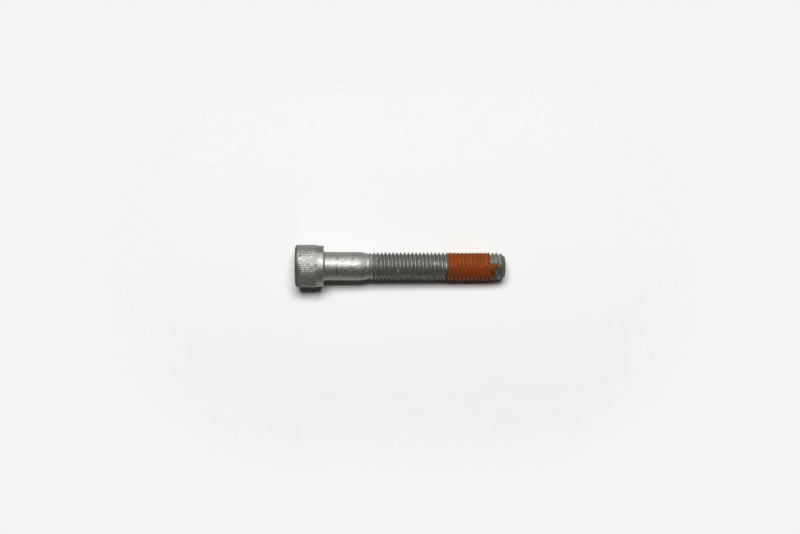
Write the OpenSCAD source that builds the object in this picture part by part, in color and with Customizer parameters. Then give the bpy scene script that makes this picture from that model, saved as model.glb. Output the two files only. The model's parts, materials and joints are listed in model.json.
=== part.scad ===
// Hex socket cap screw with a patch of dried thread-locking compound.
// It stands on the flat top of its head: +Z runs along the axis, from that flat (z = 0) to the point.
// The thread is drawn as a plain cylinder at its crest diameter. The compound fills the thread's grooves,
// so it is drawn as a ring in the outer skin of that cylinder, flush with the crests.

/* [Head] */
// Diameter over the knurl's crests
head_d = 11.7; // [9.6:0.05:16]
// Height of the head, from its flat top to its bearing face
head_h = 7.9; // [6.4:0.1:12]
// Width of the chamfer on the head's top edge, along the radius
head_chamfer_w = 0.8; // [0.3:0.05:1.1]
// Angle between that chamfer and the flat top
head_chamfer_angle = 30; // [15:5:60]
// Rounding of the chamfer's two edges
head_edge_r = 0.25; // [0.05:0.05:0.3]
// Number of teeth in the straight knurl
knurl_teeth = 66; // [24:1:96]
// Depth of the knurl's grooves
knurl_depth = 0.16; // [0.05:0.01:0.25]
// Height of the plain band between the knurl and the bearing face
band_h = 1.6; // [0.5:0.1:3]
// Step from the knurl's crests down to the plain band
band_drop = 0.175; // [0.05:0.005:0.4]
// Height of the slope from the knurl down to the plain band
band_slope_h = 0.5; // [0.1:0.1:1]
// Rounding of the bearing face's outer edge
bearing_edge_r = 0.12; // [0.05:0.01:0.3]

/* [Socket] */
// Width of the hexagonal socket across its flats
key_af = 6.35; // [4:0.05:7.5]
// Depth of the socket's flats
socket_depth = 4.3; // [3:0.1:5.8]
// Depth of the shallow cone below the flats
socket_cone_h = 1; // [0.2:0.1:1.4]
// Width of the flat ledge between the flats and that cone
socket_ledge_w = 0.1; // [0.05:0.05:0.5]
// Reach of the mouth's countersink past the hexagon's corners
socket_mouth_w = 0.15; // [0.05:0.05:0.4]

/* [Shank] */
// Length of the screw below its head
screw_l = 50.1; // [41:0.1:120]
// Diameter of the plain shank
shank_d = 7.82; // [6:0.01:10]
// Radius of the fillet under the head
fillet_r = 0.4; // [0.1:0.05:0.6]
// Length of the slope from the shank down to the neck
neck_slope_h = 1; // [0.3:0.1:2]
// Length of the neck between that slope and the thread
neck_h = 1.3; // [0.4:0.1:2]

/* [Thread] */
// Diameter over the thread's crests
thread_d = 7.8; // [6.6:0.05:9.4]
// Pitch of the thread
thread_pitch = 1.058; // [0.5:0.001:1.5]
// Length of the thread, from its run-out at the neck to the end of the point
thread_l = 37.1; // [20:0.1:47]
// Width of the chamfer on the point, along the radius
point_w = 1.25; // [0.5:0.05:2]
// Angle between that chamfer and the axis
point_angle = 35; // [25:5:60]
// Rounding of the edge of the point's flat end
point_edge_r = 0.3; // [0.05:0.05:0.5]

/* [Thread-locking patch] */
// Length of the patch along the thread
patch_l = 11.6; // [4:0.1:14]
// Distance from the patch to the end of the point
patch_gap = 4.2; // [3.5:0.1:5]
// Mean thickness of the compound in the grooves
patch_t = 0.25; // [0.1:0.05:0.5]

/* [Hidden] */
$fn = 132;

// A cut reaches this far past the surface that it opens
overcut = 1;

// Height of a thread's pitch line below its crests, as a share of the pitch (a 60 degree thread)
pitch_line_share = 0.6495 / 2;

head_r = head_d / 2;
band_r = head_r - band_drop;
valley_r = head_r - knurl_depth;
shank_r = shank_d / 2;
thread_r = thread_d / 2;
neck_r = thread_r - pitch_line_share * thread_pitch;
point_r = thread_r - point_w;

head_chamfer_h = head_chamfer_w * tan(head_chamfer_angle);
point_h = point_w / tan(point_angle);

band_z = head_h - band_h;
total_h = head_h + screw_l;
thread_z = total_h - thread_l;
neck_z = thread_z - neck_h;

patch_end_z = total_h - patch_gap;
patch_z = patch_end_z - patch_l;
patch_inner_r = thread_r - patch_t;

hex_corner_r = key_af / 2 / cos(30);
mouth_r = hex_corner_r + socket_mouth_w;

// The sliver between a corner and the arc that rounds it. The edges that meet there leave the corner
// in the directions a and b, in degrees, with b the further anticlockwise.
module corner_sliver(corner, a, b, r) {
    half = (b - a) / 2;
    tangent = r / tan(half);
    centre = corner + r / sin(half) * [cos(a + half), sin(a + half)];
    difference() {
        polygon([
            corner,
            corner + tangent * [cos(a), sin(a)],
            centre,
            corner + tangent * [cos(b), sin(b)],
        ]);
        translate(centre) circle(r = r);
    }
}

// Half section of the head before knurling, with the radius along X and the axis along Y
module head_section() {
    difference() {
        polygon([
            [0, 0],
            [head_r - head_chamfer_w, 0],
            [head_r, head_chamfer_h],
            [head_r, band_z - band_slope_h],
            [band_r, band_z],
            [band_r, head_h],
            [0, head_h],
        ]);
        corner_sliver([head_r - head_chamfer_w, 0], head_chamfer_angle, 180, head_edge_r);
        corner_sliver([head_r, head_chamfer_h], 90, 180 + head_chamfer_angle, head_edge_r);
        corner_sliver([band_r, head_h], 180, 270, bearing_edge_r);
    }
}

// Half section of the shank, the neck and the thread, from the bearing face to the point
module shank_section() {
    difference() {
        union() {
            polygon([
                [0, head_h - fillet_r],
                [shank_r, head_h - fillet_r],
                [shank_r, neck_z - neck_slope_h],
                [neck_r, neck_z],
                [neck_r, thread_z],
                [thread_r, thread_z + thread_r - neck_r],
                [thread_r, total_h - point_h],
                [point_r, total_h],
                [0, total_h],
            ]);
            corner_sliver([shank_r, head_h], 0, 90, fillet_r);
        }
        corner_sliver([point_r, total_h], 180, 270 + point_angle, point_edge_r);
    }
}

// Everything outside the knurl's teeth: one V groove of 90 degrees for each tooth
module knurl_grooves() {
    step = 180 / knurl_teeth;
    flank_r = valley_r + PI * head_r / knurl_teeth;
    translate([0, 0, -overcut])
        linear_extrude(height = band_z + overcut)
            difference() {
                circle(r = head_r + overcut);
                polygon([
                    for (i = [0 : 2 * knurl_teeth - 1])
                        (i % 2 == 0 ? valley_r : flank_r) * [cos(i * step), sin(i * step)]
                ]);
            }
}

// Hexagonal key socket, with two corners on the X axis
module socket() {
    translate([0, 0, -overcut])
        cylinder(h = overcut + socket_depth, r = hex_corner_r, $fn = 6);
    translate([0, 0, socket_depth])
        cylinder(h = socket_cone_h, r1 = key_af / 2 - socket_ledge_w, r2 = 0);
    translate([0, 0, -overcut])
        cylinder(h = overcut + mouth_r, r1 = mouth_r + overcut, r2 = 0);
}

// A ring around the threaded length, as long as the patch and with the patch's inner radius
module patch_ring(outer_r) {
    translate([0, 0, patch_z])
        difference() {
            cylinder(h = patch_l, r = outer_r);
            translate([0, 0, -overcut])
                cylinder(h = patch_l + 2 * overcut, r = patch_inner_r);
        }
}

// The cold-forged steel screw
module screw() {
    color("silver")
        difference() {
            rotate_extrude() {
                head_section();
                shank_section();
            }
            knurl_grooves();
            socket();
            patch_ring(thread_r + overcut);
        }
}

// The dried compound in the thread's grooves
module thread_lock_patch() {
    color("orangered") patch_ring(thread_r);
}

screw();
thread_lock_patch();
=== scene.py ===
"""A hex socket cap screw with a patch of dried thread-locking compound on its thread.

The screw stands on its head: +Z runs along its axis, from the flat top of the head at z = 0 to the point.
Lengths are in millimetres while a piece is built, and its mesh is scaled to metres at the end.
Angles round the axis start at the front of the screw, which faces -Y, and grow towards +X.
"""

import json
import logging
import math
from collections.abc import Iterable
from dataclasses import dataclass
from enum import Enum
from functools import partial, reduce
from typing import Any

import bmesh
import bpy
from mathutils import Matrix, Vector, noise


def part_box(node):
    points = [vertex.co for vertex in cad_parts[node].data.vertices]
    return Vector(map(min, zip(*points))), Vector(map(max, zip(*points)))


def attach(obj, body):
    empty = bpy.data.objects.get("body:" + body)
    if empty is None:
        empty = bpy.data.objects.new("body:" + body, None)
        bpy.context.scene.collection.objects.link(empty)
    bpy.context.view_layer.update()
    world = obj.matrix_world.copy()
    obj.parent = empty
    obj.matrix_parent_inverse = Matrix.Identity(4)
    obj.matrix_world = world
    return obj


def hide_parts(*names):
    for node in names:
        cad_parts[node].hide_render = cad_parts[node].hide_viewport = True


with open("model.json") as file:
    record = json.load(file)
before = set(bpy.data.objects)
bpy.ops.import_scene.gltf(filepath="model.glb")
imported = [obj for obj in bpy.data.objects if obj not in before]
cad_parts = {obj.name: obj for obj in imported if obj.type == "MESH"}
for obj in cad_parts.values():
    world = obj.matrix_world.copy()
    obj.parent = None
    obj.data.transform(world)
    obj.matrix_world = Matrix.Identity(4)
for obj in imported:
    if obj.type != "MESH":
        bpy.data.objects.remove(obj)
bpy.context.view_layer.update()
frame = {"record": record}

BODY = "root"
FULL_TURN = 2 * math.pi

# A millimetre in metres
MM = 0.001

# Points less than this apart, in millimetres, count as one
HAIR = 0.001

# Height of a sixty-degree thread's pitch line below its crests, as a share of the pitch
PITCH_LINE_SHARE = 0.6495 / 2

# How far the compound lies from the plain ring that stands for it, towards the head and in millimetres
PATCH_SHIFT = 0.1

log = logging.getLogger("cap_screw")

Value = float | tuple[float, ...] | bpy.types.NodeSocket


# ---------------------------------------------------------------- sums and small mesh tools


def mount(name: str) -> dict[str, Any]:
    """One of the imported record's mounts, by its name."""
    return next(m for m in frame["record"]["mounts"] if m["name"] == name)


def smooth_step(low: float, high: float, value: float) -> float:
    """A smooth rise from 0 at low to 1 at high."""
    share = min(1.0, max(0.0, (value - low) / (high - low)))
    return share * share * (3 - 2 * share)


def soft_max(a: float, b: float, blend: float) -> float:
    """The larger of two numbers, with the step between them rounded over the width blend."""
    gap = max(blend - abs(a - b), 0.0) / blend
    return max(a, b) + gap * gap * blend / 4


def soft_min(a: float, b: float, blend: float) -> float:
    """The smaller of two numbers, with the step between them rounded over the width blend."""
    return -soft_max(-a, -b, blend)


def angle_of(point: Vector) -> float:
    """A point's angle round the axis in radians, from the front towards +X."""
    return math.atan2(point.x, -point.y)


def turn_between(a: float, b: float) -> float:
    """The shorter way round from angle b to angle a, in radians."""
    return (a - b + math.pi) % FULL_TURN - math.pi


def at(radius: float, angle: float, z: float) -> Vector:
    """The point with that radius, angle round the axis and height."""
    return Vector((radius * math.sin(angle), -radius * math.cos(angle), z))


@dataclass(frozen=True)
class Lumps:
    """Smooth noise, with its strength, the size of its lumps in millimetres and a seed of its own."""

    strength: float
    size: float
    seed: float

    def value(self, point: Vector) -> float:
        """The noise at a point, from -strength to strength."""
        offset = Vector((self.seed, -self.seed, self.seed / 2))
        return self.strength * noise.noise(point / self.size + offset)


class Outline:
    """An open outline in the half plane on the side of -X, to be turned round the axis."""

    def __init__(self, points: Iterable[tuple[float, float]]) -> None:
        """Draws the outline.

        Args:
            points: the radius and height of each corner, in order.
        """
        self.bm = bmesh.new()
        self.places = [Vector((-radius, 0, z)) for radius, z in points]
        corners = [self.bm.verts.new(place) for place in self.places]
        for a, b in zip(corners, corners[1:]):
            self.bm.edges.new((a, b))

    def corner(self, index: int) -> bmesh.types.BMVert:
        """The corner with that place in the outline."""
        return min(self.bm.verts, key=lambda vert: (vert.co - self.places[index]).length_squared)

    def divide(self, index: int, cuts: int) -> None:
        """Divides the side that leaves a corner.

        Args:
            index: the corner's place in the outline.
            cuts: how many points to add along the side.
        """
        side = self.bm.edges.get((self.corner(index), self.corner(index + 1)))
        bmesh.ops.subdivide_edges(self.bm, edges=[side], cuts=cuts)

    def round(self, indices: Iterable[int], radius: float, segments: int) -> None:
        """Rounds corners of the outline.

        Args:
            indices: the corners' places in the outline.
            radius: the radius of the rounding.
            segments: how many straight pieces stand for each arc.
        """
        for index in indices:
            corner = self.corner(index)
            sides = [edge.other_vert(corner).co - corner.co for edge in corner.link_edges]
            reach = radius / math.tan(sides[0].angle(sides[1]) / 2)
            bmesh.ops.bevel(
                self.bm,
                geom=[corner],
                offset=reach,
                offset_type="OFFSET",
                segments=segments,
                profile=0.5,
                affect="VERTICES",
                material=-1,
                clamp_overlap=False,
            )

    def turn(self, steps: int, rise: float = 0.0) -> bmesh.types.BMesh:
        """Turns the outline once round the axis.

        Args:
            steps: how many steps the turn takes.
            rise: how far the outline climbs in the whole turn.

        Returns:
            The turned surface, with its doubles merged.
        """
        bmesh.ops.spin(
            self.bm,
            geom=[*self.bm.verts, *self.bm.edges],
            cent=(0, 0, 0),
            axis=(0, 0, 1),
            dvec=(0, 0, rise / steps),
            angle=FULL_TURN,
            steps=steps,
            use_merge=rise == 0,
            use_duplicate=False,
        )
        bmesh.ops.remove_doubles(self.bm, verts=self.bm.verts, dist=HAIR)
        return self.bm


def cut_level(bm: bmesh.types.BMesh, z: float, keep_above: bool) -> None:
    """Cuts a mesh off at a height.

    Args:
        bm: the mesh.
        z: the height of the cut.
        keep_above: whether the part above the cut stays, or the part below it.
    """
    bmesh.ops.bisect_plane(
        bm,
        geom=[*bm.verts, *bm.edges, *bm.faces],
        dist=HAIR,
        plane_co=(0, 0, z),
        plane_no=(0, 0, 1),
        clear_inner=keep_above,
        clear_outer=not keep_above,
    )


def rim(bm: bmesh.types.BMesh, z: float) -> list[bmesh.types.BMEdge]:
    """The open edges that lie at a height."""
    return [e for e in bm.edges if e.is_boundary and all(abs(v.co.z - z) < HAIR for v in e.verts)]


def absorb(bm: bmesh.types.BMesh, other: bmesh.types.BMesh) -> None:
    """Moves everything of another mesh into this one.

    Args:
        bm: the mesh that grows.
        other: the other mesh, which is used up.
    """
    carrier = bpy.data.meshes.new("carrier")
    other.to_mesh(carrier)
    bm.from_mesh(carrier)
    bpy.data.meshes.remove(carrier)
    other.free()


def finished(bm: bmesh.types.BMesh, name: str, sharp_deg: float) -> bpy.types.Object:
    """Makes a closed mesh a piece of the scene, in metres.

    Args:
        bm: the mesh in millimetres, which is used up.
        name: the piece's name.
        sharp_deg: edges that turn further than this stay sharp.

    Returns:
        The piece, smooth apart from its sharp edges.
    """
    bmesh.ops.recalc_face_normals(bm, faces=bm.faces)
    bmesh.ops.scale(bm, vec=(MM, MM, MM), verts=bm.verts)
    mesh = bpy.data.meshes.new(name)
    bm.to_mesh(mesh)
    bm.free()
    mesh.shade_smooth()
    mesh.set_sharp_from_angle(angle=math.radians(sharp_deg))
    piece = bpy.data.objects.new(name, mesh)
    bpy.context.scene.collection.objects.link(piece)
    return piece


# ---------------------------------------------------------------- the screw


class Hand(Enum):
    """The way a thread winds."""

    RIGHT = 1
    LEFT = -1


@dataclass(frozen=True)
class Thread:
    """The rolled thread, a ridge of sixty degrees, from its run-out at the neck to the point.

    Sizes are in millimetres. The neck has the thread's pitch radius. The point's cone lies a little off the
    axis, and the last crest is raised on it and pushed towards the end. A pair of sizes gives the distances
    below the end between which something changes, and the pair for the darkened part of the flanks gives
    shares of the thread's depth. The coat is darker on the crests and painted paler in the grooves as a
    painted highlight, and on the point it is darkened by grime and by painted shade over the last crest's
    highlight.
    """

    crest_r: float
    end_z: float
    length: float = 37.85
    pitch: float = 1.059
    depth: float = 0.649
    crest_flat: float = 0.13
    flank_deg: float = 30.0
    crest_round: float = 0.06
    root_round: float = 0.13
    front_crest_below_end: float = 1.005
    hand: Hand = Hand.RIGHT
    groove_runout_h: float = 1.15
    crest_runout_h: float = 2.2
    point_w: float = 1.1
    point_deg: float = 35.0
    point_edge_r: float = 0.25
    point_aside: float = 0.06
    point_blend: float = 0.06
    cap_h: float = 0.65
    raised_on_point: float = 0.16
    raised_until: tuple[float, float] = (1.05, 0.7)
    pushed_on_point: float = 0.16
    pushed_from: tuple[float, float] = (1.8, 1.35)
    pushed_until: tuple[float, float] = (1.0, 0.65)
    unevenness: float = 0.024
    coat_lumps: tuple[Lumps, ...] = (Lumps(1.0, 0.7, 3.1), Lumps(0.6, 0.3, 8.4))
    # The crests are darker over the outer part of the flanks
    crest_darkening: float = 1.12
    # Painted highlight: below the darkened part of the flanks the grooves are painted paler
    groove_highlight: float = 0.3
    darkened_flank: tuple[float, float] = (0.1, 0.85)
    soiled_patches: Lumps = Lumps(0.25, 1.2, 12.9)
    # The point is darkened by grime, and also as painted shade over the highlight on the last crest
    point_grime_and_shade: float = 0.85
    point_grime_and_shade_span: tuple[float, float] = (1.5, 1.05)
    steps: int = 132

    @property
    def start_z(self) -> float:
        """Height at which the run-out begins."""
        return self.end_z - self.length

    @property
    def neck_r(self) -> float:
        """Radius of the neck, at the thread's pitch line."""
        return self.crest_r - PITCH_LINE_SHARE * self.pitch

    @property
    def root_r(self) -> float:
        """Radius at the bottom of the grooves."""
        return self.crest_r - self.depth

    def point_r(self, z: float) -> float:
        """Radius of the cone that forms the point, at a height."""
        return self.crest_r - self.point_w + (self.end_z - z) * math.tan(math.radians(self.point_deg))

    def nearing_end(self, below_end: tuple[float, float], z: float) -> float:
        """A smooth rise from 0 to 1 between two distances below the end, at a height."""
        return smooth_step(self.end_z - below_end[0], self.end_z - below_end[1], z)

    def pushed(self, z: float) -> float:
        """How far the thread is pushed towards the end, at a height."""
        share = self.nearing_end(self.pushed_from, z) * (1 - self.nearing_end(self.pushed_until, z))
        return self.pushed_on_point * share

    def metal_r(self, full_r: float, angle: float, z: float) -> float:
        """Radius of the metal, with the run-out, the point and the coat's unevenness.

        Args:
            full_r: the radius that a full thread has at this place.
            angle: the angle round the axis.
            z: the height.

        Returns:
            The radius of the finished surface.
        """
        share = smooth_step(self.start_z, self.start_z + self.groove_runout_h, z)
        if full_r > self.neck_r:
            share *= smooth_step(self.start_z, self.start_z + self.crest_runout_h, z)
        radius = self.neck_r + (full_r - self.neck_r) * share
        raised = self.raised_on_point * (1 - self.nearing_end(self.raised_until, z))
        raised *= max(0.0, (full_r - self.root_r) / self.depth)
        cone = self.point_r(z) + self.point_aside * math.sin(angle) + raised
        radius = soft_min(radius, cone, self.point_blend)
        place = at(self.crest_r, angle, z)
        rough = self.unevenness * sum(lumps.value(place) for lumps in self.coat_lumps)
        return min(radius + rough * share, self.crest_r)

    def soiling(self, place: Vector) -> float:
        """How much the coat is darkened at a place: grime in patches, darker crests, paler grooves as a
        painted highlight, and grime and painted shade on the point.

        Args:
            place: a place on the finished surface.

        Returns:
            The darkening, which is below 0 where the grooves carry the painted highlight.
        """
        undarkened_r, darkened_r = (self.root_r + share * self.depth for share in self.darkened_flank)
        runout_end = self.start_z + self.crest_runout_h
        runout = smooth_step(self.start_z + self.crest_runout_h / 2, runout_end, place.z)
        crests = self.crest_darkening * smooth_step(undarkened_r, darkened_r, place.xy.length) * runout
        patches = self.soiled_patches.value(place) * runout
        point = self.point_grime_and_shade * self.nearing_end(self.point_grime_and_shade_span, place.z)
        return max(crests - self.groove_highlight + patches, point)

    def surface(self, low: float, high: float) -> bmesh.types.BMesh:
        """The thread's surface between two heights, open at both ends.

        Args:
            low: the lower end.
            high: the upper end.

        Returns:
            The surface, with each vertex at the radius of the finished metal.
        """
        flank_h = self.depth * math.tan(math.radians(self.flank_deg))
        root_flat = self.pitch - 2 * flank_h - self.crest_flat
        # The outline is turned from the side, a quarter of a turn from the front
        side_crest = self.end_z - self.front_crest_below_end - self.hand.value * self.pitch / 4
        # The spare turns at both ends are cut off level
        below = math.ceil((side_crest - low) / self.pitch) + 2
        above = math.ceil((high - side_crest) / self.pitch) + 1
        points = []
        for turn in range(-below, above):
            crest = side_crest + turn * self.pitch
            points += [
                (self.root_r, crest - self.crest_flat / 2 - flank_h - root_flat),
                (self.root_r, crest - self.crest_flat / 2 - flank_h),
                (self.crest_r, crest - self.crest_flat / 2),
                (self.crest_r, crest + self.crest_flat / 2),
            ]
        outline = Outline(points)
        # Each ridge has two corners at its root and two at its crest, and every second side is a flank
        inner = range(1, len(points) - 1)
        for flank in inner[::2]:
            outline.divide(flank, 1)
        outline.round([i for i in inner if i % 4 in (0, 1)], self.root_round, 2)
        outline.round([i for i in inner if i % 4 in (2, 3)], self.crest_round, 2)
        bm = outline.turn(self.steps, rise=self.hand.value * self.pitch)
        cut_level(bm, low, keep_above=True)
        cut_level(bm, high, keep_above=False)
        for vert in bm.verts:
            angle, z = angle_of(vert.co), vert.co.z + self.pushed(vert.co.z)
            vert.co = at(self.metal_r(vert.co.xy.length, angle, z), angle, z)
        return bm

    def point_cap(self, low: float) -> bmesh.types.BMesh:
        """The smooth end of the point.

        Args:
            low: the height above which it lies.

        Returns:
            The surface, open at that height.
        """
        edge = 1
        outline = Outline(
            [
                (self.point_r(low), low),
                (self.crest_r - self.point_w, self.end_z),
                (0, self.end_z),
            ]
        )
        outline.divide(edge, 3)
        outline.round([edge], self.point_edge_r, 6)
        bm = outline.turn(self.steps)
        bmesh.ops.translate(bm, vec=(self.point_aside, 0, 0), verts=bm.verts)
        return bm


@dataclass(frozen=True)
class Knurl:
    """The straight knurl round the head.

    Sizes are in millimetres. The coat partly fills the grooves, on one side more than on the other.
    """

    teeth: int = 66
    depth: float = 0.1
    turn_deg: float = 12.3
    filled_share: float = 0.25
    filled_more: float = 0.35
    fullest_deg: float = -80.0
    least_filled: float = -0.3
    most_filled: float = 0.9
    filled_patches: tuple[Lumps, ...] = (Lumps(0.22, 1.1, 5.7), Lumps(0.13, 0.45, 1.9))
    patches_r: float = 4.0
    patches_stretch: float = 4.0
    # An even darkening of the whole knurl, and painted shade in its grooves
    soiling: float = 0.3
    groove_shade: float = 0.5
    steps_per_tooth: int = 6

    def groove(self, angle: float, z: float) -> float:
        """How far the surface lies below the teeth.

        Args:
            angle: the angle round the axis.
            z: the height.

        Returns:
            The depth at that place.
        """
        phase = (angle - math.radians(self.turn_deg)) * self.teeth
        place = at(self.patches_r, angle, z / self.patches_stretch)
        fill = self.filled_share + self.filled_more * math.cos(angle - math.radians(self.fullest_deg))
        fill += sum(lumps.value(place) for lumps in self.filled_patches)
        fill = min(self.most_filled, max(self.least_filled, fill))
        return self.depth * (0.5 + 0.5 * math.cos(phase)) * (1 - fill)


@dataclass(frozen=True)
class CapScrew:
    """The steel screw: a knurled head with a hexagonal socket, a plain shank, a neck and a thread.

    Sizes are in millimetres.
    """

    head_r: float
    head_h: float
    shank_r: float
    thread: Thread
    knurl: Knurl
    chamfer_w: float = 0.8
    chamfer_deg: float = 30.0
    head_edge_r: float = 0.25
    band_h: float = 1.4
    band_drop: float = 0.175
    band_slope_h: float = 1.0
    band_round_r: float = 2.0
    bearing_edge_r: float = 0.12
    key_flats: float = 6.35
    socket_depth: float = 4.3
    socket_cone_h: float = 1.0
    socket_ledge_w: float = 0.1
    socket_mouth_w: float = 0.15
    fillet_r: float = 0.4
    neck_slope_h: float = 1.32
    neck_h: float = 0.3
    neck_slope_round_r: float = 4.0
    neck_corner_r: float = 0.5
    uneven_edge_w: float = 0.3
    coat_lumps: Lumps = Lumps(0.012, 0.9, 2.2)
    # Painted shade on the head's chamfered rim
    shaded_rim_h: float = 1.1
    rim_shade: float = 1.1
    seam_h: float = 0.1

    @property
    def corner_r(self) -> float:
        """Radius to the socket's corners."""
        return self.key_flats / 2 / math.cos(math.pi / 6)

    def socket_wall_r(self, angle: float) -> float:
        """Radius of the hexagonal wall at an angle, with two corners on the X axis."""
        beside_corner = (angle - math.pi / 2) % (math.pi / 3)
        return self.key_flats / 2 / math.cos(beside_corner - math.pi / 6)

    def blank(self) -> bmesh.types.BMesh:
        """The turned blank, from the bottom of the socket round the head to the neck.

        Returns:
            The surface, with a round socket and no knurl.
        """
        chamfer_h = self.chamfer_w * math.tan(math.radians(self.chamfer_deg))
        band_r = self.head_r - self.band_drop
        band_z = self.head_h - self.band_h
        neck_end = self.thread.start_z - self.seam_h
        slope_end = self.thread.start_z - self.neck_h
        corners = {
            "cone tip": (0, self.socket_depth + self.socket_cone_h),
            "cone rim": (self.key_flats / 2 - self.socket_ledge_w, self.socket_depth),
            "socket floor": (self.corner_r, self.socket_depth),
            "socket wall": (self.corner_r, self.socket_mouth_w),
            "socket mouth": (self.corner_r + self.socket_mouth_w, 0),
            "top edge": (self.head_r - self.chamfer_w, 0),
            "knurl start": (self.head_r, chamfer_h),
            "knurl end": (self.head_r, band_z - self.band_slope_h),
            "band start": (band_r, band_z),
            "bearing edge": (band_r, self.head_h),
            "shank start": (self.shank_r, self.head_h),
            "shank end": (self.shank_r, slope_end - self.neck_slope_h),
            "neck start": (self.thread.neck_r, slope_end),
            "neck end": (self.thread.neck_r, neck_end),
        }
        outline = Outline(corners.values())
        index = list(corners).index
        outline.divide(index("shank start"), 16)
        outline.divide(index("knurl start"), 15)
        outline.divide(index("top edge"), 3)
        outline.divide(index("band start"), 2)
        outline.round([index("top edge"), index("knurl start")], self.head_edge_r, 3)
        outline.round([index("knurl end"), index("band start")], self.band_round_r, 2)
        outline.round([index("bearing edge")], self.bearing_edge_r, 3)
        outline.round([index("shank start")], self.fillet_r, 4)
        outline.round([index("shank end")], self.neck_slope_round_r, 5)
        outline.round([index("neck start")], self.neck_corner_r, 2)
        return outline.turn(self.knurl.teeth * self.knurl.steps_per_tooth)

    def shape_head(self, bm: bmesh.types.BMesh) -> None:
        """Gives the blank its hexagonal socket and its knurl, and the coat its unevenness.

        Args:
            bm: the turned blank.
        """
        soiling = bm.verts.layers.float.new("soiling")
        band_z = self.head_h - self.band_h
        for vert in bm.verts:
            radius, angle, z = vert.co.xy.length, angle_of(vert.co), vert.co.z
            if abs(radius - self.corner_r) < HAIR and z < self.socket_depth + HAIR:
                radius = self.socket_wall_r(angle)
                if z < self.socket_depth / 2:
                    z = self.corner_r + self.socket_mouth_w - radius
            elif radius > self.head_r - 2 * self.knurl.depth and z < band_z - HAIR:
                share = 1 - smooth_step(0.0, 2 * self.knurl.depth, self.head_r - radius)
                groove = self.knurl.groove(angle, z) * share
                # Painted shade in the knurl's grooves, on top of an even darkening of the whole knurl
                painted_groove_shade = self.knurl.groove_shade * groove / self.knurl.depth
                vert[soiling] = self.knurl.soiling * share + painted_groove_shade
                radius -= groove
            elif z > self.head_h - HAIR or radius > self.head_r - self.uneven_edge_w:
                radius -= abs(self.coat_lumps.value(at(radius, angle, z)))
            # Painted shade on the head's chamfered rim and the start of the knurl, which face away from the
            # light
            if radius > self.head_r - self.chamfer_w - HAIR and z < self.shaded_rim_h:
                share = 1 - smooth_step(self.shaded_rim_h / 2, self.shaded_rim_h, z)
                vert[soiling] = max(vert[soiling], self.rim_shade * share)
            vert.co = at(radius, angle, z)

    def build(self) -> bpy.types.Object:
        """Builds the whole screw as one closed piece.

        Returns:
            The piece, with the coat's grime and painted shade in its attribute for soiling and painted
            shade, which is below 0 where the thread's grooves are painted paler as a painted highlight.
        """
        bm = self.blank()
        self.shape_head(bm)
        cap_z = self.thread.end_z - self.thread.cap_h
        neck_end = self.thread.start_z - self.seam_h
        absorb(bm, self.thread.surface(self.thread.start_z, cap_z))
        absorb(bm, self.thread.point_cap(cap_z + self.seam_h))
        bmesh.ops.bridge_loops(bm, edges=rim(bm, neck_end) + rim(bm, self.thread.start_z))
        bmesh.ops.bridge_loops(bm, edges=rim(bm, cap_z) + rim(bm, cap_z + self.seam_h))
        soiling = bm.verts.layers.float["soiling"]
        for vert in bm.verts:
            if vert.co.z > self.thread.start_z:
                vert[soiling] = self.thread.soiling(vert.co)
        return finished(bm, "cap_screw_body", sharp_deg=38)


# ---------------------------------------------------------------- the compound


class End(Enum):
    """One end of the patch."""

    HEAD = -1
    POINT = 1


@dataclass(frozen=True)
class Smear:
    """A stretch where the compound runs past an end of the patch."""

    end: End
    angle_deg: float
    half_width_deg: float
    reach: float


@dataclass(frozen=True)
class Blob:
    """A drop of compound that lies by itself in a groove beyond the patch."""

    angle_deg: float
    z: float
    half_width_deg: float
    half_height: float


SMEARS = (
    Smear(End.HEAD, 66, 25, 0.75),
    Smear(End.POINT, 50, 28, 1.55),
    Smear(End.POINT, 4, 15, 1.3),
    Smear(End.HEAD, 168, 26, 0.4),
    Smear(End.POINT, 158, 30, 0.7),
    Smear(End.POINT, -128, 16, 0.5),
)

BLOBS = (
    Blob(2, 54.25, 20, 0.42),
    Blob(-1, 55.24, 15, 0.38),
    Blob(-164, 54.9, 13, 0.3),
)


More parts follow.
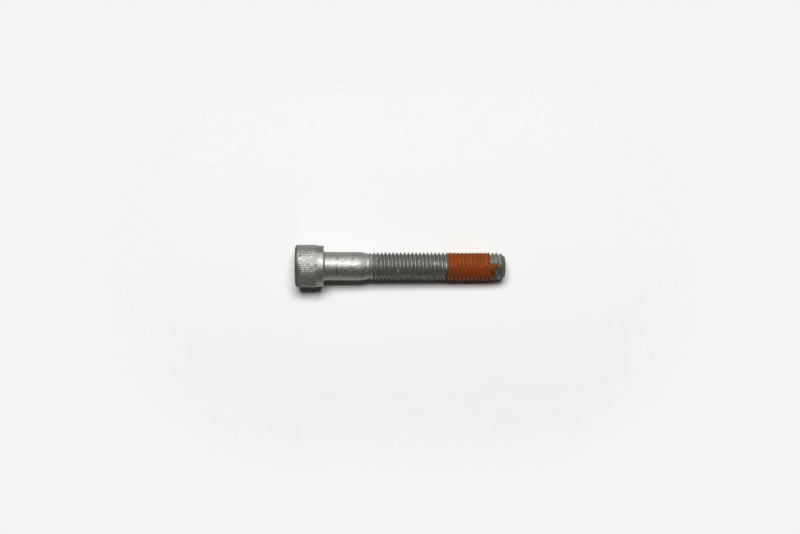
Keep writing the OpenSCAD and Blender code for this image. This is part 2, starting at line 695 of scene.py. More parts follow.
@dataclass(frozen=True)
class LockingPatch:
    """The dried compound, which fills the thread's grooves nearly to the crests.

    Sizes are in millimetres. The smears' sides are shares of their half widths, and the spare turns count
    those of the thread past each end, from which the smears and blobs are cut.
    """

    thread: Thread
    low: float
    high: float
    smears: tuple[Smear, ...] = SMEARS
    blobs: tuple[Blob, ...] = BLOBS
    smear_sides: tuple[float, float] = (0.75, 1.2)
    spare_turns: tuple[float, float] = (2.0, 2.2)
    ragged: Lumps = Lumps(1.0, 0.45, 6.3)
    ragged_reach: float = 0.3
    ragged_low: float = 0.02
    ragged_high: float = 0.05
    ragged_blob: float = 0.25
    sink: float = 0.21
    sink_lumps: Lumps = Lumps(0.35, 1.6, 4.4)
    film: float = 0.022
    film_share: float = 0.5
    film_lumps: Lumps = Lumps(1.2, 0.7, 7.7)
    grit: Lumps = Lumps(1.0, 0.35, 9.2)
    grit_h: float = 0.018
    film_grit_h: float = 0.006
    sparse_smear: float = 1.9
    sparse_within: float = 0.3
    crest_blend: float = 0.07
    edge_slope: float = 2.5
    bury: float = 0.04
    margin: float = 0.1

    def reach(self, end: End, angle: float) -> float:
        """How far the compound runs past an end of the patch.

        Args:
            end: the end.
            angle: the angle round the axis.

        Returns:
            The distance along the axis.
        """
        reach = 0.0
        for smear in self.smears:
            if smear.end is end:
                off = abs(turn_between(angle, math.radians(smear.angle_deg)))
                inner, outer = (math.radians(smear.half_width_deg) * share for share in self.smear_sides)
                reach = max(reach, smear.reach * (1 - smooth_step(inner, outer, off)))
        return reach

    def cover(self, angle: float, z: float) -> float:
        """How far inside the patch's outline a place lies, or below 0 how far outside it.

        Args:
            angle: the angle round the axis.
            z: the height.

        Returns:
            The distance to the outline.
        """
        ragged = self.ragged.value(at(self.thread.crest_r, angle, z))
        longer = 1 + self.ragged_reach * ragged
        low = self.low - self.reach(End.HEAD, angle) * longer + self.ragged_low * ragged
        high = self.high + self.reach(End.POINT, angle) * longer + self.ragged_high * ragged
        return max(min(z - low, high - z), self.blob_cover(angle, z, ragged))

    def blob_cover(self, angle: float, z: float, ragged: float) -> float:
        """How far inside the nearest blob a place lies, or below 0 how far outside it.

        Args:
            angle: the angle round the axis.
            z: the height.
            ragged: noise for the blob's outline, from -1 to 1.

        Returns:
            The distance to the blob's outline.
        """
        inside = -math.inf
        for blob in self.blobs:
            across = turn_between(angle, math.radians(blob.angle_deg)) / math.radians(blob.half_width_deg)
            along = (z - blob.z) / blob.half_height
            share = 1 - math.hypot(across, along) + self.ragged_blob * ragged
            inside = max(inside, share * blob.half_height)
        return inside

    def outer_r(self, metal_r: float, angle: float, z: float) -> float:
        """Radius of the compound's surface.

        Args:
            metal_r: the radius of the metal under it.
            angle: the angle round the axis.
            z: the height.

        Returns:
            The radius, which is a little less than the metal's where there is no compound.
        """
        place = at(self.thread.crest_r, angle, z)
        grit = self.grit.value(place)
        beyond = smooth_step(0.0, self.sparse_within, max(self.low - z, z - self.high))
        beyond *= 1 - smooth_step(-self.margin, self.margin, self.blob_cover(angle, z, 0.0))
        sink = self.sink * (1 + self.sink_lumps.value(place) + self.sparse_smear * beyond)
        level = self.thread.crest_r - sink + self.grit_h * grit
        film = self.film * (self.film_share + self.film_lumps.value(place) + beyond)
        film += self.film_grit_h * grit
        full = soft_max(level, metal_r + film, self.crest_blend) - metal_r
        edge = self.edge_slope * self.cover(angle, z)
        depth = min(full, edge) if edge > 0 else max(-self.bury / 2, edge)
        return min(metal_r + depth, self.thread.crest_r + self.film)

    def build(self) -> bpy.types.Object:
        """Builds the compound as a closed piece that fits the thread.

        Returns:
            The piece, with the compound's thickness in millimetres in its attribute thickness.
        """
        before, after = (turns * self.thread.pitch for turns in self.spare_turns)
        bm = self.thread.surface(self.low - before, self.high + after)
        thickness = bm.verts.layers.float.new("thickness")
        metal = bm.verts.layers.float.new("metal_r")
        bare = set()
        for vert in bm.verts:
            radius, angle, z = vert.co.xy.length, angle_of(vert.co), vert.co.z
            if self.cover(angle, z) < -self.margin:
                bare.add(vert)
            outer = self.outer_r(radius, angle, z)
            vert[metal] = radius
            vert[thickness] = outer - radius
            vert.co = at(outer, angle, z)
        empty = [face for face in bm.faces if all(vert in bare for vert in face.verts)]
        bmesh.ops.delete(bm, geom=empty, context="FACES")
        made = bmesh.ops.extrude_face_region(bm, geom=bm.faces[:], use_keep_orig=True)
        for vert in (item for item in made["geom"] if isinstance(item, bmesh.types.BMVert)):
            vert.co = at(vert[metal] - self.bury, angle_of(vert.co), vert.co.z)
        bm.verts.layers.float.remove(metal)
        return finished(bm, "dried_compound", sharp_deg=50)


# ---------------------------------------------------------------- node tools


class Nodes:
    """Short ways to add nodes to a node tree."""

    def __init__(self, tree: bpy.types.NodeTree) -> None:
        """Works on one node tree."""
        self.tree = tree

    def add(
        self, kind: str, inputs: dict[str | int, Value] | None = None, **settings: Any
    ) -> bpy.types.Node:
        """Adds a node.

        Args:
            kind: the node's type, without its common beginning.
            inputs: what feeds its inputs, as numbers or as sockets of other nodes.
            settings: the node's own settings.

        Returns:
            The new node.
        """
        node = self.tree.nodes.new("ShaderNode" + kind)
        for name, value in settings.items():
            setattr(node, name, value)
        for name, value in (inputs or {}).items():
            self.feed_socket(node.inputs[name], value)
        return node

    def feed(self, node: bpy.types.Node, **inputs: Value) -> None:
        """Feeds a node's inputs, with an underscore for each space in a name."""
        for name, value in inputs.items():
            self.feed_socket(node.inputs[name.replace("_", " ")], value)

    def feed_socket(self, socket: bpy.types.NodeSocket, value: Value) -> None:
        """Feeds one input.

        Args:
            socket: the input.
            value: another node's output, or the input's own number, numbers or colour.
        """
        if isinstance(value, bpy.types.NodeSocket):
            self.tree.links.new(value, socket)
        else:
            socket.default_value = value

    def math(self, operation: str, *values: Value, clamp: bool = False) -> bpy.types.NodeSocket:
        """The result of a Math node."""
        node = self.add("Math", dict(enumerate(values)), operation=operation, use_clamp=clamp)
        return node.outputs[0]

    def length(self, *parts: Value) -> bpy.types.NodeSocket:
        """The length of a line, from its parts along directions at right angles to each other."""
        squares = [self.math("MULTIPLY", part, part) for part in parts]
        return self.math("SQRT", reduce(partial(self.math, "ADD"), squares))

    def rise(self, value: Value, low: Value, high: Value) -> bpy.types.NodeSocket:
        """A smooth rise from 0 where value is low to 1 where it is high."""
        inputs = {"Value": value, "From Min": low, "From Max": high}
        return self.add("MapRange", inputs, interpolation_type="SMOOTHSTEP").outputs["Result"]

    def blend(self, share: Value, a: Value, b: Value) -> bpy.types.NodeSocket:
        """A colour between two colours."""
        return self.add("Mix", {0: share, 6: a, 7: b}, data_type="RGBA").outputs[2]

    def layered(self, tone: Value, *layers: tuple[Value, float, Value]) -> bpy.types.NodeSocket:
        """A tone with other colours over it.

        Args:
            tone: the tone at the bottom.
            layers: for each colour its mask, how strongly it covers there, and the colour itself.

        Returns:
            The tone that shows.
        """
        for mask, strength, colour in layers:
            tone = self.blend(self.math("MULTIPLY", mask, strength), tone, colour)
        return tone

    def shifted(self, value: Value, *shifts: tuple[Value, float]) -> bpy.types.NodeSocket:
        """A value that changes over the surface.

        Args:
            value: the value where no mask reaches.
            shifts: for each change its mask, and what it adds there.

        Returns:
            The changed value.
        """
        for mask, shift in shifts:
            value = self.math("MULTIPLY_ADD", mask, shift, value)
        return value

    def noise(
        self, place: Value, size: float, detail: float = 2.0, rough: float = 0.5
    ) -> bpy.types.NodeSocket:
        """Noise from 0 to 1 whose lumps are about size millimetres across."""
        inputs = {"Vector": place, "Scale": 1 / size, "Detail": detail, "Roughness": rough}
        return self.add("TexNoise", inputs).outputs["Fac"]


class GroupNodes(Nodes):
    """A new shader node group with named inputs and outputs."""

    def __init__(self, name: str, inputs: dict[str, float | None], outputs: Iterable[str]) -> None:
        """Starts the group.

        Args:
            name: the group's name.
            inputs: each input's name with its first value, or None for a vector.
            outputs: the names of the outputs, which are numbers.
        """
        super().__init__(bpy.data.node_groups.new(name, "ShaderNodeTree"))
        for label, value in inputs.items():
            kind = "NodeSocketVector" if value is None else "NodeSocketFloat"
            socket = self.tree.interface.new_socket(label, in_out="INPUT", socket_type=kind)
            if value is not None:
                socket.default_value = value
        for label in outputs:
            self.tree.interface.new_socket(label, in_out="OUTPUT", socket_type="NodeSocketFloat")
        self.given = self.tree.nodes.new("NodeGroupInput").outputs

    def scaled(self, place: Value, size: Value) -> bpy.types.NodeSocket:
        """A place in units of a size."""
        inputs = {0: place, 3: self.math("DIVIDE", 1.0, size)}
        return self.add("VectorMath", inputs, operation="SCALE").outputs[0]

    def close(self, results: dict[str, bpy.types.NodeSocket]) -> bpy.types.NodeTree:
        """Feeds the group's outputs.

        Args:
            results: what feeds each output, by its name.

        Returns:
            The finished group.
        """
        end = self.tree.nodes.new("NodeGroupOutput")
        for label, socket in results.items():
            self.tree.links.new(socket, end.inputs[label])
        return self.tree


def grain_group() -> bpy.types.NodeTree:
    """A dull coat's grain: its height, and a broad mottling with finer specks in it.

    Returns:
        The group. Grain and Mottle are the sizes of the fine and the broad lumps in millimetres.
    """
    inputs = {"Place": None, "Grain": 0.12, "Mottle": 0.6}
    group = GroupNodes("coat_grain", inputs, ("Height", "Mottling", "Specks"))
    given = group.given
    fine = group.scaled(given["Place"], given["Grain"])
    broad = group.scaled(given["Place"], given["Mottle"])
    grit = group.noise(fine, 1.0, 2.0, 0.6)
    cloud = group.noise(broad, 1.0, 3.0, 0.6)
    height = group.math("ADD", group.math("MULTIPLY", grit, 0.2), group.math("MULTIPLY", cloud, 0.8))
    specks = group.rise(grit, 0.6, 0.78)
    return group.close({"Height": height, "Mottling": group.rise(cloud, 0.3, 0.7), "Specks": specks})


def darkening_group() -> bpy.types.NodeTree:
    """A darkening that follows a given amount, broken up by noise: grime, and on the coat also painted
    shade.

    Returns:
        The group. The mask rises from 0 to 1 as the broken amount goes from From to To.
    """
    inputs = {"Place": None, "Soiling": 0.0, "From": 0.2, "To": 0.9}
    group = GroupNodes("settled_grime", inputs, ("Mask",))
    breaks = group.noise(group.given["Place"], 0.5, 3.0, 0.6)
    depth = group.math("ADD", group.given["Soiling"], group.math("MULTIPLY_ADD", breaks, 0.7, -0.35))
    return group.close({"Mask": group.rise(depth, group.given["From"], group.given["To"])})


def spot_group() -> bpy.types.NodeTree:
    """One spot on a round surface: a ragged ellipse.

    Returns:
        The group. Angle and Lean are in degrees and the sizes in millimetres.
    """
    inputs = {
        "Place": None,
        "Ragged": 0.5,
        "Angle": 0.0,
        "Height": 0.0,
        "Lean": 0.0,
        "Half width": 0.5,
        "Half height": 0.2,
    }
    group = GroupNodes("surface_mark", inputs, ("Mask",))
    given = group.given
    split = group.add("SeparateXYZ", {0: given["Place"]}).outputs
    angle = group.math("ARCTAN2", split[0], group.math("MULTIPLY", split[1], -1.0))
    off = group.math("SUBTRACT", angle, group.math("RADIANS", given["Angle"]))
    across = group.math("MULTIPLY", off, group.length(split[0], split[1]))
    along = group.math("SUBTRACT", split[2], given["Height"])
    lean = group.math("RADIANS", given["Lean"])
    cosine, sine = group.math("COSINE", lean), group.math("SINE", lean)
    u = group.math("ADD", group.math("MULTIPLY", across, cosine), group.math("MULTIPLY", along, sine))
    v = group.math("SUBTRACT", group.math("MULTIPLY", along, cosine), group.math("MULTIPLY", across, sine))
    u = group.math("DIVIDE", u, given["Half width"])
    v = group.math("DIVIDE", v, given["Half height"])
    reach = group.math("ADD", group.length(u, v), group.math("MULTIPLY_ADD", given["Ragged"], 2.2, -1.1))
    return group.close({"Mask": group.math("SUBTRACT", 1.0, group.rise(reach, 0.65, 1.3), clamp=True)})


@dataclass(frozen=True)
class EffectGroups:
    """The shared effects, built once for all the materials."""

    grain: bpy.types.NodeTree
    darkening: bpy.types.NodeTree
    mark: bpy.types.NodeTree

    @classmethod
    def build(cls) -> "EffectGroups":
        """Builds every shared effect."""
        return cls(grain_group(), darkening_group(), spot_group())


class MaterialNodes(Nodes):
    """The nodes of a new material with a Principled BSDF, and its place in millimetres."""

    def __init__(self, name: str) -> None:
        """Starts the material.

        Args:
            name: the material's name.
        """
        self.material = bpy.data.materials.new(name)
        self.material.use_nodes = True
        super().__init__(self.material.node_tree)
        self.shader = self.tree.nodes["Principled BSDF"]
        coordinates = self.add("TexCoord").outputs["Object"]
        self.place = self.add("VectorMath", {0: coordinates, 3: 1 / MM}, operation="SCALE").outputs[0]

    def effect(self, group: bpy.types.NodeTree, **inputs: Value) -> bpy.types.NodeOutputs:
        """Places a shared effect.

        Args:
            group: the effect's node group.
            inputs: its values, with an underscore for each space in a name.

        Returns:
            The effect's outputs.
        """
        node = self.add("Group", node_tree=group)
        self.feed(node, Place=self.place)
        self.feed(node, **inputs)
        return node.outputs

    def attribute(self, name: str) -> bpy.types.NodeSocket:
        """The piece's own attribute of that name."""
        return self.add("Attribute", attribute_name=name).outputs["Fac"]

    def set(self, **inputs: Value) -> None:
        """Feeds the shader's inputs, with an underscore for each space in a name."""
        self.feed(self.shader, **inputs)

    def raise_surface(self, height: bpy.types.NodeSocket, distance_mm: float) -> None:
        """Feeds the shader's normal with a height from 0 to 1 that stands for distance_mm."""
        bump = self.add("Bump", {"Height": height, "Strength": 1.0, "Distance": distance_mm * MM})
        self.set(Normal=bump.outputs["Normal"])


# ---------------------------------------------------------------- finishes


@dataclass(frozen=True)
class Spot:
    """A spot on the coat, by its place on the screw, its lean, half sizes and strength. Some are real marks
    and rubs, and some are painted shade and painted highlights.
    """

    angle_deg: float
    z: float
    lean_deg: float
    half_width: float
    half_height: float
    strength: float = 1.0


COAT_RUBS_AND_HIGHLIGHTS = (
    # On the thread: two pale rubs, then two painted highlights that make the thread's highlight uneven
    Spot(-42, 22.6, 0, 0.35, 0.25),
    Spot(20, 28.4, 0, 0.4, 0.3, 0.7),
    Spot(-12, 38.6, 0, 0.5, 0.9, 0.35),
    Spot(-3, 41.2, 0, 0.8, 0.8, 0.28),
    # On the last turns: painted highlights on lit flanks, and a small pale spot at 31 degrees
    Spot(-36, 54.5, 0, 1.0, 0.14),
    Spot(-36, 55.58, 0, 1.0, 0.14),
    Spot(31, 55.65, 0, 0.24, 0.22),
    Spot(-40, 56.4, 0, 0.8, 0.12, 0.4),
    # On the far side
    Spot(130, 24.8, 0, 0.6, 0.3, 0.8),
    Spot(-160, 30.5, 0, 0.5, 0.4, 0.8),
)

COAT_MARKS_AND_SHADE = (
    # On the head
    Spot(13, 0.75, 0, 1.9, 0.65),
    Spot(-29, 1.4, 0, 0.32, 0.28, 0.8),
    Spot(0, 5.65, 0, 0.36, 0.26, 0.9),
    Spot(-52, 6.9, 90, 1.2, 1.3, 0.55),
    # On the shank
    Spot(24, 11.5, 0, 1.6, 0.16),
    Spot(22, 11.5, 0, 0.55, 0.32),
    Spot(-30, 11.7, -40, 0.55, 0.14),
    Spot(17, 12.6, 30, 0.45, 0.17),
    Spot(-17, 12.95, 0, 0.22, 0.2, 0.7),
    Spot(18, 13.9, -35, 0.85, 0.18),
    Spot(8, 14.6, 40, 0.5, 0.14),
    Spot(11, 15.6, 90, 0.6, 0.26, 0.8),
    Spot(-34, 15.8, 0, 0.28, 0.32),
    Spot(28, 15.9, -60, 0.5, 0.16, 0.8),
    Spot(33, 17.9, 0, 0.42, 0.32),
    # Painted shade that dims the end of the highlight where the shank ends
    Spot(-12, 18.25, 0, 2.0, 0.6, 0.42),
    Spot(-46, 18.55, 0, 0.3, 0.35, 0.6),
    Spot(36, 18.7, -7, 1.8, 0.25),
    # All round the neck: painted shade, a dark line that stands for the shade of the first shallow groove
    Spot(0, 20.56, 0, 30, 0.13, 0.6),
    # On the last turns: a dark mark, and painted shade over the highlight on the last crest
    Spot(36, 55.95, 40, 0.42, 0.14),
    Spot(-4, 56.76, 0, 2.4, 0.26, 0.9),
    # On the far side
    Spot(-150, 3.4, 15, 1.3, 0.4, 0.6),
    Spot(172, 9.9, 70, 0.8, 0.2, 0.7),
    Spot(150, 13.2, 8, 1.0, 0.24, 0.8),
    Spot(-120, 16.6, -20, 0.7, 0.2, 0.8),
)


@dataclass(frozen=True)
class ZincFlakeFinish:
    """A dull silver-grey coat of zinc flakes, mottled, with grime, darker crests, dark marks and pale rubs,
    and with painted shade and painted highlights.

    Sizes are in millimetres. A rise gives the values between which a mask goes from 0 to 1.
    """

    colour: tuple[float, float, float, float] = (0.17, 0.172, 0.161, 1)
    pale: tuple[float, float, float, float] = (0.318, 0.323, 0.304, 1)
    dull: tuple[float, float, float, float] = (0.157, 0.157, 0.145, 1)
    # The pale tone of the flecks, also used for the painted highlights
    bright_tone: tuple[float, float, float, float] = (0.62, 0.63, 0.6, 1)
    darkening: tuple[float, float, float, float] = (0.066, 0.062, 0.051, 1)
    grain_size: float = 0.13
    mottle_size: float = 0.6
    patch_size: float = 2.6
    fleck_size: float = 0.32
    fleck_rise: tuple[float, float] = (0.6, 0.72)
    darkening_rise: tuple[float, float] = (0.25, 1.0)
    groove_highlight_rise: tuple[float, float] = (0.0, 0.3)
    metallic: float = 0.86
    roughness: float = 0.49
    bump_mm: float = 0.07
    wander: float = 0.8
    wander_size: float = 0.7
    ragged_size: float = 0.22
    spots: tuple[Spot, ...] = COAT_MARKS_AND_SHADE
    rubs_and_highlights: tuple[Spot, ...] = COAT_RUBS_AND_HIGHLIGHTS

    def material(self, effects: EffectGroups) -> bpy.types.Material:
        """Builds the coat's material.

        Args:
            effects: the shared effects.

        Returns:
            The material, which reads the piece's attribute for soiling and painted shade.
        """
        nodes = MaterialNodes("zinc_flake_coat")
        coat = nodes.effect(effects.grain, Grain=self.grain_size, Mottle=self.mottle_size)
        soiling = nodes.attribute("soiling")
        low, high = self.darkening_rise
        # The darkening is grime, and also painted shade in the knurl's grooves, on the head's rim and over
        # the last crest's highlight
        darkening = nodes.effect(effects.darkening, Soiling=soiling, From=low, To=high)["Mask"]
        # Painted highlight: the thread's grooves are painted paler
        painted_groove_highlight = nodes.rise(nodes.math("MULTIPLY", soiling, -1.0), *self.groove_highlight_rise)
        # Dark marks, and painted shade at the neck, at the end of the shank and over the last crest's
        # highlight
        spots = self.spotted(nodes, effects, self.spots)
        # Pale rubs, and painted highlights on the thread and on its last turns
        rubs_and_highlights = self.spotted(nodes, effects, self.rubs_and_highlights)
        patches = nodes.noise(nodes.place, self.patch_size)
        flecks = nodes.rise(nodes.noise(nodes.place, self.fleck_size, 1.0), *self.fleck_rise)
        tone = nodes.layered(
            self.colour,
            (coat["Mottling"], 0.75, self.pale),
            (patches, 0.4, self.dull),
            (coat["Specks"], 0.35, self.bright_tone),
            (flecks, 0.45, self.bright_tone),
            (painted_groove_highlight, 0.75, self.bright_tone),
            (darkening, 0.82, self.darkening),
            (rubs_and_highlights, 0.7, self.bright_tone),
            (spots, 0.85, self.darkening),
        )
        rough = nodes.shifted(self.roughness, (coat["Mottling"], -0.08), (darkening, 0.12), (spots, 0.15))
        nodes.set(Base_Color=tone, Metallic=nodes.shifted(self.metallic, (darkening, -0.4)), Roughness=rough)
        nodes.raise_surface(nodes.shifted(coat["Height"], (spots, -0.5)), self.bump_mm)
        return nodes.material

    def spotted(
        self, nodes: MaterialNodes, effects: EffectGroups, spots: Iterable[Spot]
    ) -> bpy.types.NodeSocket:
        """The mask of several spots together.

        Args:
            nodes: the material's nodes.
            effects: the shared effects.
            spots: the spots.

        Returns:
            The mask, which is 1 on a spot.
        """
        cloud = {"Vector": nodes.place, "Scale": 1 / self.wander_size, "Detail": 2.0}
        drift = nodes.add("TexNoise", cloud).outputs["Color"]
        drift = nodes.add("VectorMath", {0: drift, 1: (0.5, 0.5, 0.5)}, operation="SUBTRACT").outputs[0]
        moved = {0: drift, 1: (self.wander,) * 3, 2: nodes.place}
        place = nodes.add("VectorMath", moved, operation="MULTIPLY_ADD").outputs[0]
        ragged = nodes.noise(nodes.place, self.ragged_size, 2.0, 0.6)
        mask: Value = 0.0
        for mark in spots:
            one = nodes.effect(
                effects.mark,
                Place=place,
                Ragged=ragged,
                Angle=mark.angle_deg,
                Height=mark.z,
                Lean=mark.lean_deg,
                Half_width=mark.half_width,
                Half_height=mark.half_height,
            )["Mask"]
            mask = nodes.math("MAXIMUM", mask, nodes.math("MULTIPLY", one, mark.strength))
        return mask


@dataclass(frozen=True)
class DriedCompoundFinish:
    """A dull orange compound that looks brown and grey where it is only a film on the crests.

    Sizes are in millimetres. A rise gives the values between which a mask goes from 0 to 1.
    """

    colour: tuple[float, float, float, float] = (0.335, 0.051, 0.003, 1)
    deep: tuple[float, float, float, float] = (0.15, 0.024, 0.003, 1)
    bright_tone: tuple[float, float, float, float] = (0.46, 0.085, 0.025, 1)
    film: tuple[float, float, float, float] = (0.22, 0.095, 0.028, 1)
    darkening: tuple[float, float, float, float] = (0.07, 0.05, 0.035, 1)
    grain_size: float = 0.24
    mottle_size: float = 0.45
    thick_rise: tuple[float, float] = (0.015, 0.14)
    darkening_rise: tuple[float, float] = (0.35, 1.1)
    roughness: float = 0.7
    specular: float = 0.05
    bump_mm: float = 0.02

    def material(self, effects: EffectGroups) -> bpy.types.Material:
        """Builds the compound's material.

        Args:
            effects: the shared effects.

        Returns:
            The material, which reads the attribute thickness.
        """
        nodes = MaterialNodes("orange_compound")
        thickness = nodes.attribute("thickness")
        grain = nodes.effect(effects.grain, Grain=self.grain_size, Mottle=self.mottle_size)
        thin = nodes.math("SUBTRACT", 1.0, nodes.rise(thickness, *self.thick_rise), clamp=True)
        low, high = self.darkening_rise
        # Grime on the compound's thin film
        darkening = nodes.effect(effects.darkening, Soiling=thin, From=low, To=high)["Mask"]
        tone = nodes.layered(
            self.colour,
            (grain["Mottling"], 0.85, self.deep),
            (grain["Specks"], 0.75, self.bright_tone),
            (thin, 1.0, self.film),
            (darkening, 0.45, self.darkening),
        )
        rough = nodes.shifted(self.roughness, (grain["Mottling"], 0.12), (thin, -0.28))
        nodes.set(Base_Color=tone, Roughness=rough, Metallic=nodes.shifted(0.0, (thin, 0.7)))
        nodes.set(Specular_IOR_Level=self.specular)
        nodes.raise_surface(grain["Height"], self.bump_mm)
        return nodes.material


# ---------------------------------------------------------------- the studio


@dataclass(frozen=True)
class Softbox:
    """A soft lamp that is turned to the screw, with its distance in metres.

    Seen from the screw, it lies side_deg round from the front towards -X and along_deg towards the point.
    """

    name: str
    side_deg: float
    along_deg: float
    half_width_deg: float
    half_height_deg: float
    radiance: float
    only_reflected: bool = False
    distance: float = 1.2

    def place(self, aim: Vector) -> None:
        """Adds the lamp.

        Args:
            aim: the point that it faces.
        """
        width = 2 * self.distance * math.tan(math.radians(self.half_width_deg))
        height = 2 * self.distance * math.tan(math.radians(self.half_height_deg))
        lamp = bpy.data.lights.new(self.name, "AREA")
        lamp.shape = "RECTANGLE"
        lamp.size, lamp.size_y = width, height
        lamp.energy = self.radiance * math.pi * width * height
        holder = bpy.data.objects.new(self.name, lamp)
        along = math.radians(self.along_deg)
        away = at(math.cos(along), -math.radians(self.side_deg), math.sin(along))
        holder.location = aim + away * self.distance
        holder.rotation_euler = away.to_track_quat("Z", "Y").to_euler()
        holder.visible_camera = False
        holder.visible_diffuse = not self.only_reflected
        bpy.context.scene.collection.objects.link(holder)


KEY = Softbox(
    "key_softbox", side_deg=21.3, along_deg=-3, half_width_deg=9.5, half_height_deg=15.5, radiance=19.1
)
SIDE = Softbox(
    "side_softbox", side_deg=49.5, along_deg=-2, half_width_deg=9, half_height_deg=32, radiance=9.5,
    only_reflected=True,
)
REAR = Softbox(
    "rear_softbox", side_deg=165, along_deg=3, half_width_deg=9.5, half_height_deg=15.5, radiance=18.6
)


@dataclass(frozen=True)
class Studio:
    """The pale board behind the screw, the floor under it, soft lamps, a dark card and the camera.

    Lengths are in millimetres. The board leans, so that it touches the knurl's upper end and the thread's
    end. For a look from behind, the board isn't there, and a lamp on that side lights the screw instead.
    Each fade gives the distances from the screw between which a surface fades out, and each edge_on how
    far it is turned from the camera when it does, from 0 to 1.
    """

    screw: CapScrew
    pale: float = 0.9
    warmth: float = 0.985
    fill: tuple[float, float, float, float] = (0.026, 0.019, 0.0168, 1)
    card_shade: float = 0.14
    card_r: float = 900.0
    board_half: float = 90.0
    board_layers: int = 2
    board_gap: float = 0.03
    board_touch_below_end: float = 2.0
    board_fade: tuple[float, float] = (28.0, 60.0)
    board_edge_on: tuple[float, float] = (0.75, 0.92)
    floor_glow: float = 0.45
    floor_fade: tuple[float, float] = (7.0, 14.0)
    floor_edge_on: tuple[float, float] = (0.93, 0.97)
    lens: float = 80.0
    sensor: float = 36.0
    camera_distance: float = 491.5
    camera_aside: float = 0.18
    camera_roll_deg: float = 0.19

    @property
    def touch_z(self) -> float:
        """The height at which the knurl touches the board."""
        return self.screw.head_h - self.screw.band_h - self.screw.band_slope_h

    @property
    def lean(self) -> float:
        """The angle between the screw's axis and the board."""
        touch_end = self.screw.thread.end_z - self.board_touch_below_end
        return math.atan2(self.screw.head_r - self.screw.thread.crest_r, touch_end - self.touch_z)

    @property
    def aim(self) -> Vector:
        """The middle of the screw's axis, in metres."""
        return Vector((0, 0, self.screw.thread.end_z / 2 * MM))

    @property
    def pale_colour(self) -> tuple[float, float, float, float]:
        """The colour of the board, the floor and the surround."""
        return (self.pale, self.pale, self.pale * self.warmth, 1)

    def stage_mesh(self, bm: bmesh.types.BMesh, material: bpy.types.Material) -> bpy.types.Object:
        """Adds a mesh to the stage.

        Args:
            bm: the mesh in millimetres, which is used up.
            material: its material, which also gives it its name.

        Returns:
            The object, in metres.
        """
        bmesh.ops.scale(bm, vec=(MM, MM, MM), verts=bm.verts)
        mesh = bpy.data.meshes.new(material.name)
        bm.to_mesh(mesh)
        bm.free()
        mesh.materials.append(material)
        thing = bpy.data.objects.new(material.name, mesh)
        bpy.context.scene.collection.objects.link(thing)
        return thing

    def pale_material(
        self, name: str, fade: tuple[float, float], glow: float, upright: bool
    ) -> bpy.types.Material:
        """A pale surface that takes the screw's shadow, seen only from its front and only near the screw.

        Args:
            name: the material's name.
            fade: the distances from the screw between which it fades out.
            glow: how much of its paleness it gives off by itself.
            upright: whether it is the board, which isn't there for a look from behind.

        Returns:
            The material.
        """
        material = bpy.data.materials.new(name)
        material.use_nodes = True
        material.node_tree.nodes.clear()
        nodes = Nodes(material.node_tree)
        split = nodes.add("SeparateXYZ", {0: nodes.add("TexCoord").outputs["Object"]}).outputs
        nearest = nodes.math("MINIMUM", nodes.math("MAXIMUM", split[2], 0.0), self.screw.thread.end_z * MM)
        away = nodes.length(split[0], split[1], nodes.math("SUBTRACT", split[2], nearest))
        gone = nodes.rise(away, fade[0] * MM, fade[1] * MM)
        behind = nodes.add("NewGeometry").outputs["Backfacing"]
        path = nodes.add("LightPath").outputs
        facing = nodes.add("LayerWeight", {"Blend": 0.5}).outputs["Facing"]
        turned = nodes.rise(facing, *(self.board_edge_on if upright else self.floor_edge_on))
        edge_on = nodes.math("MULTIPLY", turned, path["Is Camera Ray"])
        hidden = nodes.math("MAXIMUM", nodes.math("MAXIMUM", gone, behind), edge_on)
        if upright:
            # Light that has passed every layer started behind the board, and from then on it meets no board
            from_behind = nodes.math("GREATER_THAN", path["Transparent Depth"], self.board_layers - 0.5)
            hidden = nodes.math("MAXIMUM", hidden, from_behind)
        diffuse = nodes.add("BsdfDiffuse", {"Color": self.pale_colour})
        glows = nodes.add("Emission", {"Color": (1, 1, self.warmth, 1), "Strength": glow})
        lit = nodes.add("AddShader", {0: diffuse.outputs[0], 1: glows.outputs[0]})
        clear = nodes.add("BsdfTransparent")
        shown = nodes.add("MixShader", {0: hidden, 1: lit.outputs[0], 2: clear.outputs[0]})
        nodes.add("OutputMaterial", {0: shown.outputs[0]})
        return material

    def build_board(self) -> None:
        """The board behind the screw, in layers, so that its material can tell a look from behind."""
        bm = bmesh.new()
        for layer in range(self.board_layers):
            made = bmesh.ops.create_grid(bm, x_segments=1, y_segments=1, size=self.board_half)
            bmesh.ops.translate(bm, vec=(0, 0, -layer * self.board_gap), verts=made["verts"])
        upright = Matrix.Rotation(math.pi / 2 + self.lean, 3, "X")
        bmesh.ops.rotate(bm, cent=(0, 0, 0), matrix=upright, verts=bm.verts)
        middle = self.screw.thread.end_z / 2
        depth = self.screw.head_r - (middle - self.touch_z) * math.tan(self.lean)
        bmesh.ops.translate(bm, vec=(0, depth, middle), verts=bm.verts)
        self.stage_mesh(bm, self.pale_material("pale_board", self.board_fade, glow=0.0, upright=True))

    def build_floor(self) -> None:
        """The floor that the head stands on."""
        bm = bmesh.new()
        bmesh.ops.create_circle(bm, cap_ends=True, radius=self.floor_fade[1], segments=96)
        material = self.pale_material("pale_floor", self.floor_fade, self.floor_glow, upright=False)
        floor = self.stage_mesh(bm, material)
        floor.visible_shadow = floor.visible_diffuse = floor.visible_glossy = False

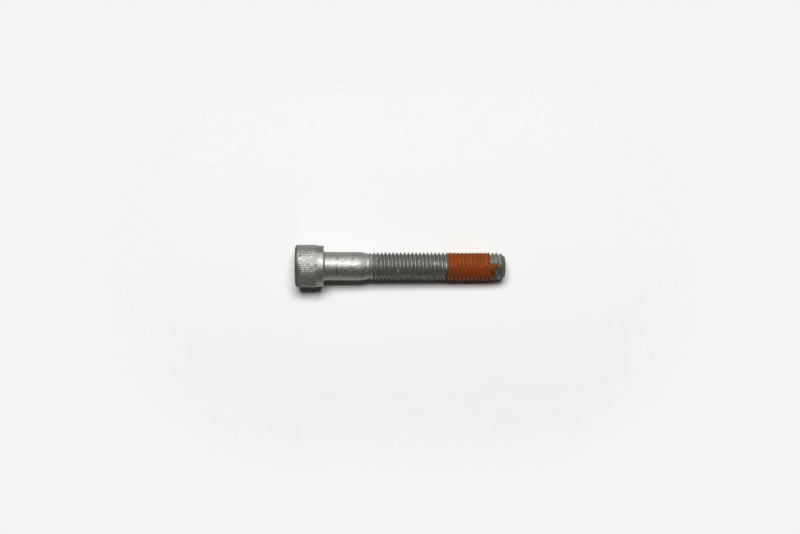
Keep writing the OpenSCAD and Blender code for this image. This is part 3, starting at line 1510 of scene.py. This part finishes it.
    def build_card(self) -> None:
        """A dark card all round the front, which only the screw's reflections show."""
        material = bpy.data.materials.new("dark_card")
        material.use_nodes = True
        material.node_tree.nodes.clear()
        nodes = Nodes(material.node_tree)
        shade = nodes.add("Emission", {"Color": (1, 1, 1, 1), "Strength": self.card_shade})
        nodes.add("OutputMaterial", {0: shade.outputs[0]})
        bm = bmesh.new()
        bmesh.ops.create_uvsphere(bm, u_segments=48, v_segments=24, radius=self.card_r)
        bmesh.ops.bisect_plane(
            bm,
            geom=[*bm.verts, *bm.edges, *bm.faces],
            plane_co=(0, 0, 0),
            plane_no=(0, 1, 0),
            clear_outer=True,
        )
        card = self.stage_mesh(bm, material)
        card.visible_camera = card.visible_diffuse = card.visible_shadow = card.visible_transmission = False

    def light_world(self) -> None:
        """A pale surround for the camera and for reflections, and a weaker fill for everything else."""
        world = bpy.data.worlds.new("studio")
        bpy.context.scene.world = world
        world.use_nodes = True
        nodes = Nodes(world.node_tree)
        path = nodes.add("LightPath").outputs
        seen = nodes.math("MAXIMUM", path["Is Camera Ray"], path["Is Glossy Ray"])
        seen = nodes.math("MAXIMUM", seen, path["Is Transmission Ray"])
        shade = nodes.blend(seen, self.fill, self.pale_colour)
        world.node_tree.links.new(shade, world.node_tree.nodes["Background"].inputs["Color"])

    def place_camera(self) -> None:
        """The camera, square to the board, with the screw's head to the left."""
        toward = Vector((0, math.cos(self.lean), math.sin(self.lean)))
        up = Vector((-1, 0, 0))
        right = toward.cross(up)
        square = Matrix((right, up, -toward)).transposed()
        roll = Matrix.Rotation(math.radians(self.camera_roll_deg), 3, "Z")
        camera = bpy.data.cameras.new("camera")
        camera.lens, camera.sensor_width = self.lens, self.sensor
        holder = bpy.data.objects.new("camera", camera)
        place = self.aim + Vector((self.camera_aside * MM, 0, 0)) - toward * self.camera_distance * MM
        holder.matrix_world = Matrix.Translation(place) @ (square @ roll).to_4x4()
        bpy.context.scene.collection.objects.link(holder)
        bpy.context.scene.camera = holder

    def build(self) -> None:
        """Builds the whole studio."""
        self.build_board()
        self.build_floor()
        self.build_card()
        self.light_world()
        for softbox in (KEY, SIDE, REAR):
            softbox.place(self.aim)
        self.place_camera()
        bpy.context.scene.view_settings.view_transform = "Standard"


# ---------------------------------------------------------------- the whole scene


def dress(piece: bpy.types.Object, node: str, material: bpy.types.Material) -> None:
    """Gives a piece its material and its place in the frame, and logs it.

    Args:
        piece: the piece.
        node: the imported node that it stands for.
        material: its finish.
    """
    piece.data.materials.append(material)
    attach(piece, BODY)
    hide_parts(node)
    piece.data.calc_loop_triangles()
    log.info("%s: %d triangles", piece.name, len(piece.data.loop_triangles))


def main() -> None:
    """Builds the screw, its compound and the studio."""
    logging.basicConfig(level=logging.INFO, format="%(name)s: %(message)s")
    screw_box, patch_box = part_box("screw"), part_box("thread_lock_patch")
    thread = Thread(
        crest_r=mount("thread")["dims"]["r_mm"],
        end_z=screw_box[1].z / MM,
    )
    screw = CapScrew(
        head_r=screw_box[1].y / MM,
        head_h=mount("bearing_face")["pos_m"][2] / MM,
        shank_r=mount("shank")["dims"]["r_mm"],
        thread=thread,
        knurl=Knurl(),
    )
    patch = LockingPatch(
        thread=thread,
        low=patch_box[0].z / MM - PATCH_SHIFT,
        high=patch_box[1].z / MM - PATCH_SHIFT,
    )
    effects = EffectGroups.build()
    dress(screw.build(), "screw", ZincFlakeFinish().material(effects))
    dress(patch.build(), "thread_lock_patch", DriedCompoundFinish().material(effects))
    Studio(screw).build()


if __name__ == "__main__":
    main()
